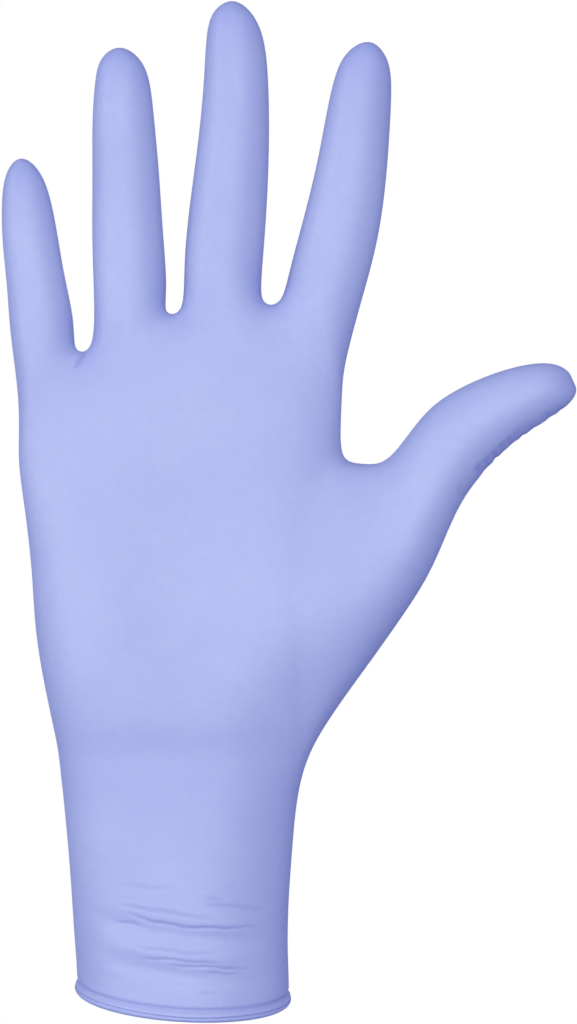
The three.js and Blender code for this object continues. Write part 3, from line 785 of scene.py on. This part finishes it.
def crease_press(crease, on, facing, places, normals):
    """How far each point is pressed in by a crease, from 0 to its depth in plain creases."""
    line = crease_line(crease, on)
    parts = np.linalg.norm(np.diff(line, axis=0), axis=1)
    marks = np.concatenate([[0], np.cumsum(parts)])
    nearest = np.full(len(places), 1e9)
    along = np.zeros(len(places))
    for i, part in enumerate(parts):
        direction = (line[i + 1] - line[i]) / part
        offset = places - line[i]
        share = np.clip(offset @ direction, 0, part)
        distance = np.linalg.norm(offset - share[:, None] * direction, axis=1)
        closer = distance < nearest
        nearest[closer] = distance[closer]
        along[closer] = (marks[i] + share[closer]) / marks[-1]
    taper = np.clip(CREASE_TAPER * along * (1 - along), 0, 1) if on == "cuff" else 1
    side = np.clip(CREASE_FACING * normals[:, 1] * facing, 0, 1) if facing else 1
    width = crease["wide"] * CREASE_WIDTH
    return crease["deep"] * np.exp(-((nearest / width) ** 2)) * taper * side


def press_creases(points, normals):
    """Presses the fine creases in, and returns how deep each point lies in one."""
    places = points[:, [0, 2]]
    for wave in CREASE_WAVES:
        places[:, 1] += wave["high"] * np.sin(points[:, 0] * wave["steep"] + wave["start"])
    depth = np.zeros(len(points))
    for group in CREASE_GROUPS:
        for crease in group["creases"]:
            press = crease_press(crease, group["on"], group["facing"], places, normals)
            depth = np.maximum(depth, press)
    points -= normals * depth[:, None] * CREASE_DEPTH
    return depth


def nip_film(points, normals):
    """Draws the film in just above the bead, and returns how deep each point lies in the nip."""
    height = points[:, 2] - rim_height(points[:, 0], points[:, 1])
    nip = np.exp(-(((height - NIP_HEIGHT) / NIP_WIDTH) ** 2))
    points -= normals * nip[:, None] * NIP_DEPTH
    return nip


def painted_shade_depth(points):
    """How deep the painted shade is at each point, up to 1 at the fingertips and the webs."""
    depth = np.zeros(len(points))
    for place, painted_shade in painted_shade_spots:
        distance = np.linalg.norm((points - place) / painted_shade["reach"], axis=1)
        depth = np.maximum(depth, painted_shade["share"] * np.exp(-(distance**2)))
    return depth


def shaped_skin(level):
    """A skin with the hand's swellings and the cuff's folds."""
    points, faces = smooth_skin(level)
    if level == OUTER_LEVEL:
        points, faces = divide_rows(points, faces, FINE_ROWS, FINE_PARTS)
    swell(points, point_normals(points, faces))
    fold_cuff(points, point_normals(points, faces))
    return points, faces


def bead_rings(rim, normals):
    """The bead's rings of points, and how deep each point lies in the groove."""
    radius = BEAD_THICKNESS / 2
    up = unit(np.array([-rim_height(1, 0), -rim_height(0, 1), 1]))
    out = unit(normals - (normals @ up)[:, None] * up)
    reach = BEAD_REACH - radius
    lift = math.sqrt(radius**2 - reach**2)
    around = np.linspace(0, 2 * math.pi, len(rim), endpoint=False)
    groove_turn = np.full(len(rim), float(GROOVE_TURN))
    for wave in GROOVE_WAVES:
        groove_turn += wave["high"] * np.sin(wave["count"] * around + wave["start"])
    rings = []
    grooves = []
    for turn in BEAD_TURNS:
        groove = np.exp(-(((turn - groove_turn) / GROOVE_WIDTH) ** 2))
        size = radius * (1 - GROOVE_DEPTH * groove)
        across = reach + size * math.cos(math.radians(turn))
        rise = size * math.sin(math.radians(turn)) - lift
        rings.append(rim + out * across[:, None] + up * rise[:, None])
        grooves.append(groove)
    return rings, grooves


def glove_skin():
    """Points, faces and crease depths of the whole glove."""
    outer, outer_faces = shaped_skin(OUTER_LEVEL)
    inner, inner_faces = shaped_skin(INNER_LEVEL)
    inner -= point_normals(inner, inner_faces) * FILM_THICKNESS
    outer_loop = rim_loop(outer_faces, outer)
    inner_loop = rim_loop(inner_faces, inner)
    normals = point_normals(outer, outer_faces)
    rings, grooves = bead_rings(outer[outer_loop], normals[outer_loop])
    creases = np.maximum(press_creases(outer, normals), nip_film(outer, normals))
    shift = len(outer)
    faces = outer_faces.tolist() + (inner_faces[:, ::-1] + shift).tolist()
    inner_rim = [i + shift for i in inner_loop]
    start = shift + len(inner)
    count = len(outer_loop)
    bands = [list(range(start + k * count, start + (k + 1) * count)) for k in range(len(rings))]
    bands.append(outer_loop)
    for lower, upper in zip(bands, bands[1:]):
        for i, a in enumerate(lower):
            following = (i + 1) % len(lower)
            faces.append([a, lower[following], upper[following], upper[i]])
    first = bands[0]
    for i, a in enumerate(inner_rim):
        b = inner_rim[(i + 1) % len(inner_rim)]
        low, middle, high = (first[(2 * i + k) % len(first)] for k in range(3))
        faces += [[a, middle, low], [a, b, middle], [b, high, middle]]
    points = np.concatenate([outer, inner, *rings])
    depth = np.concatenate([creases, np.zeros(len(inner)), *grooves])
    return points, faces, depth


def add_piece(name, points, faces, material):
    mesh = bpy.data.meshes.new(name)
    mesh.from_pydata(np.asarray(points).tolist(), [], faces)
    mesh.shade_smooth()
    mesh.materials.append(material)
    piece = bpy.data.objects.new(name, mesh)
    bpy.context.scene.collection.objects.link(piece)
    return piece


def srgb(red, green, blue):
    """A colour for a shader from 8-bit values."""
    shares = [value / 255 for value in (red, green, blue)]
    linear = [s / 12.92 if s <= 0.04045 else ((s + 0.055) / 1.055) ** 2.4 for s in shares]
    return (*linear, 1)


class Nodes:
    """Adds linked nodes to a material."""

    def __init__(self, material):
        material.use_nodes = True
        self.tree = material.node_tree
        self.tree.nodes.clear()

    def add(self, kind, inputs=None, **settings):
        node = self.tree.nodes.new(kind)
        for name, value in settings.items():
            setattr(node, name, value)
        for name, value in (inputs or {}).items():
            if isinstance(value, bpy.types.NodeSocket):
                self.tree.links.new(value, node.inputs[name])
            else:
                node.inputs[name].default_value = value
        return node

    def noise(self, place, size, detail=2.0, roughness=0.5):
        """Noise with features of about this size in metres."""
        inputs = {"Vector": place, "Scale": 1 / size, "Detail": detail, "Roughness": roughness}
        return self.add("ShaderNodeTexNoise", inputs).outputs["Fac"]

    def scaled(self, place, scale):
        inputs = {"Vector": place, "Scale": scale}
        return self.add("ShaderNodeMapping", inputs).outputs["Vector"]

    def spread(self, value, low, high, to_low, to_high):
        """Carries a range of values over to another one."""
        inputs = {
            "Value": value,
            "From Min": low,
            "From Max": high,
            "To Min": to_low,
            "To Max": to_high,
        }
        return self.add("ShaderNodeMapRange", inputs).outputs["Result"]

    def blend(self, share, first, second):
        node = self.add("ShaderNodeMix", {"Factor": share}, data_type="RGBA")
        for socket, value in ((node.inputs[6], first), (node.inputs[7], second)):
            if isinstance(value, bpy.types.NodeSocket):
                self.tree.links.new(value, socket)
            else:
                socket.default_value = value
        return node.outputs[2]

    def bump(self, height, distance, strength, below=None):
        inputs = {"Height": height, "Distance": distance, "Strength": strength}
        if below is not None:
            inputs["Normal"] = below
        return self.add("ShaderNodeBump", inputs).outputs["Normal"]


def nitrile_material():
    """Satin nitrile film with soft mottling and fine grain, and painted shade in creases, tips, webs, wrist.
    """
    material = bpy.data.materials.new("nitrile")
    nodes = Nodes(material)
    place = nodes.add("ShaderNodeTexCoord").outputs["Object"]
    crease = nodes.add("ShaderNodeAttribute", attribute_name="crease").outputs["Fac"]
    painted_shade = nodes.add("ShaderNodeAttribute", attribute_name="painted_shade").outputs["Fac"]
    mottle = nodes.noise(place, MOTTLE_SIZE, 3)
    drawn = nodes.noise(nodes.scaled(place, (1, 1, 6)), DRAWN_SIZE, 3)
    flecks = nodes.noise(place, FLECK_SIZE, 4, 0.6)
    grain = nodes.noise(place, GRAIN_SIZE, 3, 0.6)
    tone = nodes.spread(mottle, 0.35, 0.65, 0, 1)
    tone = nodes.blend(tone, srgb(*NITRILE), srgb(*PALE_NITRILE))
    tone = nodes.blend(nodes.spread(flecks, 0.3, 0.7, 0, 0.35), tone, srgb(*FLECKED_NITRILE))
    # Painted shade: a deeper tone at the fingertips, the thumb's tip, the webs and the wrist.
    tone = nodes.blend(nodes.spread(painted_shade, 0, 1, 0, 0.6), tone, srgb(*PAINTED_SHADE_NITRILE))
    # Painted shade: a deeper tone where the creases, the nip and the bead's groove are pressed in.
    tone = nodes.blend(nodes.spread(crease, 0, 1.2, 0, 0.45), tone, srgb(*PAINTED_CREASE_SHADE))
    rough = nodes.spread(flecks, 0.3, 0.7, 0.46, 0.56)
    relief = nodes.bump(drawn, 0.00025, 0.25)
    relief = nodes.bump(flecks, 0.00008, 0.3, relief)
    relief = nodes.bump(grain, 0.00003, 0.4, relief)
    shader = nodes.add(
        "ShaderNodeBsdfPrincipled",
        {
            "Base Color": tone,
            "Roughness": rough,
            "Normal": relief,
            "IOR": 1.5,
            "Specular IOR Level": 0.5,
            "Subsurface Weight": 0.25,
            "Subsurface Radius": (0.5, 0.6, 1.0),
            "Subsurface Scale": 0.0015,
        },
    )
    nodes.add("ShaderNodeOutputMaterial", {"Surface": shader.outputs["BSDF"]})
    return material


def floor_material():
    """Pale matt floor that fades out away from the object."""
    material = bpy.data.materials.new("studio_floor")
    nodes = Nodes(material)
    place = nodes.add("ShaderNodeTexCoord").outputs["Object"]
    clouds = nodes.noise(place, 0.25, 3)
    grain = nodes.noise(place, 0.002, 2)
    tone = nodes.blend(clouds, *(srgb(*tone) for tone in FLOOR_TONES))
    relief = nodes.bump(grain, 0.0001, 0.2)
    paint = nodes.add(
        "ShaderNodeBsdfPrincipled",
        {
            "Base Color": tone,
            "Roughness": nodes.spread(grain, 0.3, 0.7, 0.8, 0.9),
            "Normal": relief,
            "Specular IOR Level": 0.1,
            "Emission Color": (1, 1, 1, 1),
            "Emission Strength": FLOOR_GLOW,
        },
    )
    clear = nodes.add("ShaderNodeBsdfTransparent")
    distance = nodes.add("ShaderNodeVectorMath", {0: place}, operation="LENGTH").outputs["Value"]
    share = nodes.spread(distance, *FLOOR_FADE, 0, 1)
    surface = nodes.add("ShaderNodeMixShader", {0: share, 1: paint.outputs[0], 2: clear.outputs[0]})
    nodes.add("ShaderNodeOutputMaterial", {"Surface": surface.outputs[0]})
    return material


def add_floor(height):
    """A disc that shows, but neither lights the glove nor is mirrored in it."""
    points = [(0, 0, height)]
    for i in range(FLOOR_SIDES):
        angle = 2 * math.pi * i / FLOOR_SIDES
        x = FLOOR_RADIUS * math.cos(angle)
        y = FLOOR_RADIUS * math.sin(angle)
        points.append((x, y, height))
    faces = [(0, i + 1, (i + 1) % FLOOR_SIDES + 1) for i in range(FLOOR_SIDES)]
    floor = add_piece("studio_floor", points, faces, floor_material())
    floor.visible_diffuse = False
    floor.visible_glossy = False


def add_surroundings():
    """White all round to the eye, with a softer tone for the light that it gives."""
    world = bpy.data.worlds.new("surroundings")
    world.use_nodes = True
    tree = world.node_tree
    tree.nodes.clear()
    eye = tree.nodes.new("ShaderNodeLightPath").outputs["Is Camera Ray"]
    colour = tree.nodes.new("ShaderNodeMix")
    colour.data_type = "RGBA"
    colour.inputs[6].default_value = SURROUNDINGS_LIGHT
    colour.inputs[7].default_value = SURROUNDINGS_SEEN
    background = tree.nodes.new("ShaderNodeBackground")
    output = tree.nodes.new("ShaderNodeOutputWorld")
    tree.links.new(eye, colour.inputs[0])
    tree.links.new(colour.outputs[2], background.inputs["Color"])
    tree.links.new(background.outputs[0], output.inputs["Surface"])
    bpy.context.scene.world = world


def add_softbox(row):
    light = bpy.data.lights.new(row["name"], "AREA")
    light.shape = "RECTANGLE"
    light.size, light.size_y = row["size"]
    light.energy = row["power"]
    light.color = LIGHT_TONE
    softbox = bpy.data.objects.new(row["name"], light)
    softbox.location = row["place"]
    direction = Vector(MIDDLE) - Vector(row["place"])
    softbox.rotation_euler = direction.to_track_quat("-Z", "Y").to_euler()
    softbox.visible_camera = False
    softbox.visible_glossy = row["gloss"]
    bpy.context.scene.collection.objects.link(softbox)


def add_camera():
    """Level with the middle of the hand and square to the palm."""
    data = bpy.data.cameras.new("camera")
    data.lens = CAMERA_LENS
    data.sensor_width = CAMERA_SENSOR
    data.clip_start = 0.05
    data.clip_end = 50
    camera = bpy.data.objects.new("camera", data)
    camera.location = CAMERA_PLACE
    camera.rotation_euler = (math.radians(90), 0, 0)
    bpy.context.scene.collection.objects.link(camera)
    bpy.context.scene.camera = camera


build_net()
skin_points, skin_faces, crease_depth = glove_skin()
glove = add_piece("glove_skin", skin_points, skin_faces, nitrile_material())
# Both attributes deepen the colour: painted shade in the creases and at the tips, webs and wrist.
for name, values in (("crease", crease_depth), ("painted_shade", painted_shade_depth(skin_points))):
    attribute = glove.data.attributes.new(name, "FLOAT", "POINT")
    attribute.data.foreach_set("value", values.astype(np.float32))
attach(glove, "root")
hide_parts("glove")

add_floor(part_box("glove")[0].z - FLOOR_DROP)
add_surroundings()
for softbox_row in SOFTBOXES:
    add_softbox(softbox_row)
add_camera()

scene = bpy.context.scene
scene.view_settings.view_transform = "Standard"
scene.view_settings.look = "None"
